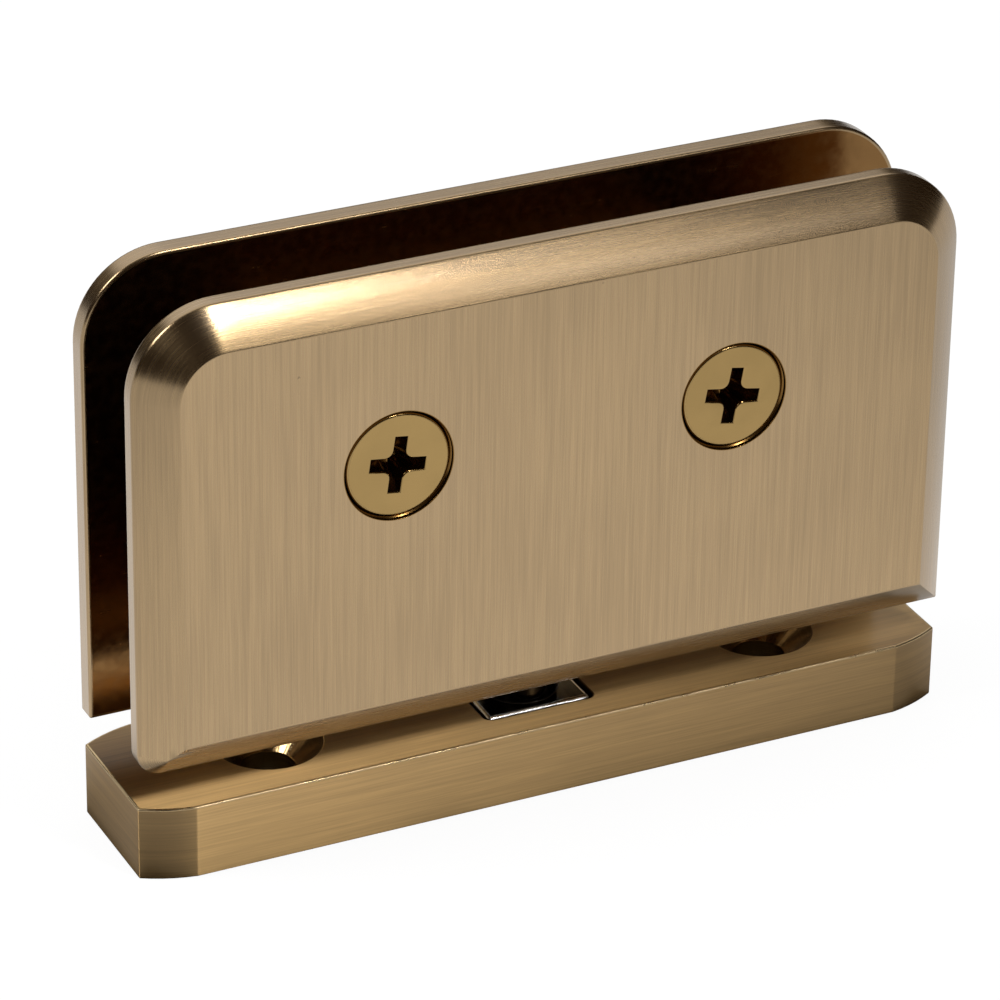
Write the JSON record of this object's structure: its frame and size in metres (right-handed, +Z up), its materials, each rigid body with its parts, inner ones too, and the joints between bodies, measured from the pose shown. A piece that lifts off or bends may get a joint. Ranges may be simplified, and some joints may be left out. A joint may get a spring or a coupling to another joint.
{
  "type": "pivot hinge",
  "caption": "Bevelled two-plate glass door clamp on a pivot block that turns on a fixed pin in a drilled base plate.",
  "frame": {"origin": "centre of the base plate's underside, on the pivot axis", "axes": "+X along the base plate to the front plate's right, +Y through the glass away from the screw side, +Z up the pivot axis"},
  "size_m": [0.09, 0.0204, 0.0617],
  "materials": {
    "satin_brass": "brushed satin brass with a bronze tone",
    "block_brass": "plain machined brass",
    "polished_brass": "polished brass",
    "polished_steel": "bright polished steel",
    "screw_steel": "plain steel",
    "black_steel": "blackened steel",
    "bronze": "sintered bronze",
    "acetal": "natural acetal"
  },
  "bodies": {
    "base": {"base_plate": "satin_brass", "pivot_pin": "polished_steel", "foot_screw": "screw_steel", "thrust_washer": "acetal"},
    "clamp": {"front_plate": "satin_brass", "back_plate": "satin_brass", "pivot_block": "block_brass", "lower_bush": "bronze", "upper_bush": "bronze", "left_spring": "screw_steel", "right_spring": "screw_steel", "left_set_screw": "black_steel", "right_set_screw": "black_steel", "left_clamp_screw": "polished_brass", "right_clamp_screw": "polished_brass", "left_block_screw": "screw_steel", "right_block_screw": "screw_steel"},
    "plunger_left": {"left_plunger": "screw_steel"},
    "plunger_right": {"right_plunger": "screw_steel"}
  },
  "joints": [
    {"name": "door_swing", "type": "hinge", "parent": "base", "child": "clamp", "pos_m": [0, 0, 0.0117], "axis": [0, 0, 1], "range_deg": [-90, 90]},
    {"name": "left_plunger_travel", "type": "slide", "parent": "clamp", "child": "plunger_left", "axis": [1, 0, 0], "range_m": [0, 0.00045], "stiffness_N_per_m": 6000, "springref_m": 0.003, "deforming": ["left_spring"]},
    {"name": "right_plunger_travel", "type": "slide", "parent": "clamp", "child": "plunger_right", "axis": [-1, 0, 0], "range_m": [0, 0.00045], "stiffness_N_per_m": 6000, "springref_m": 0.003, "deforming": ["right_spring"]}
  ]
}
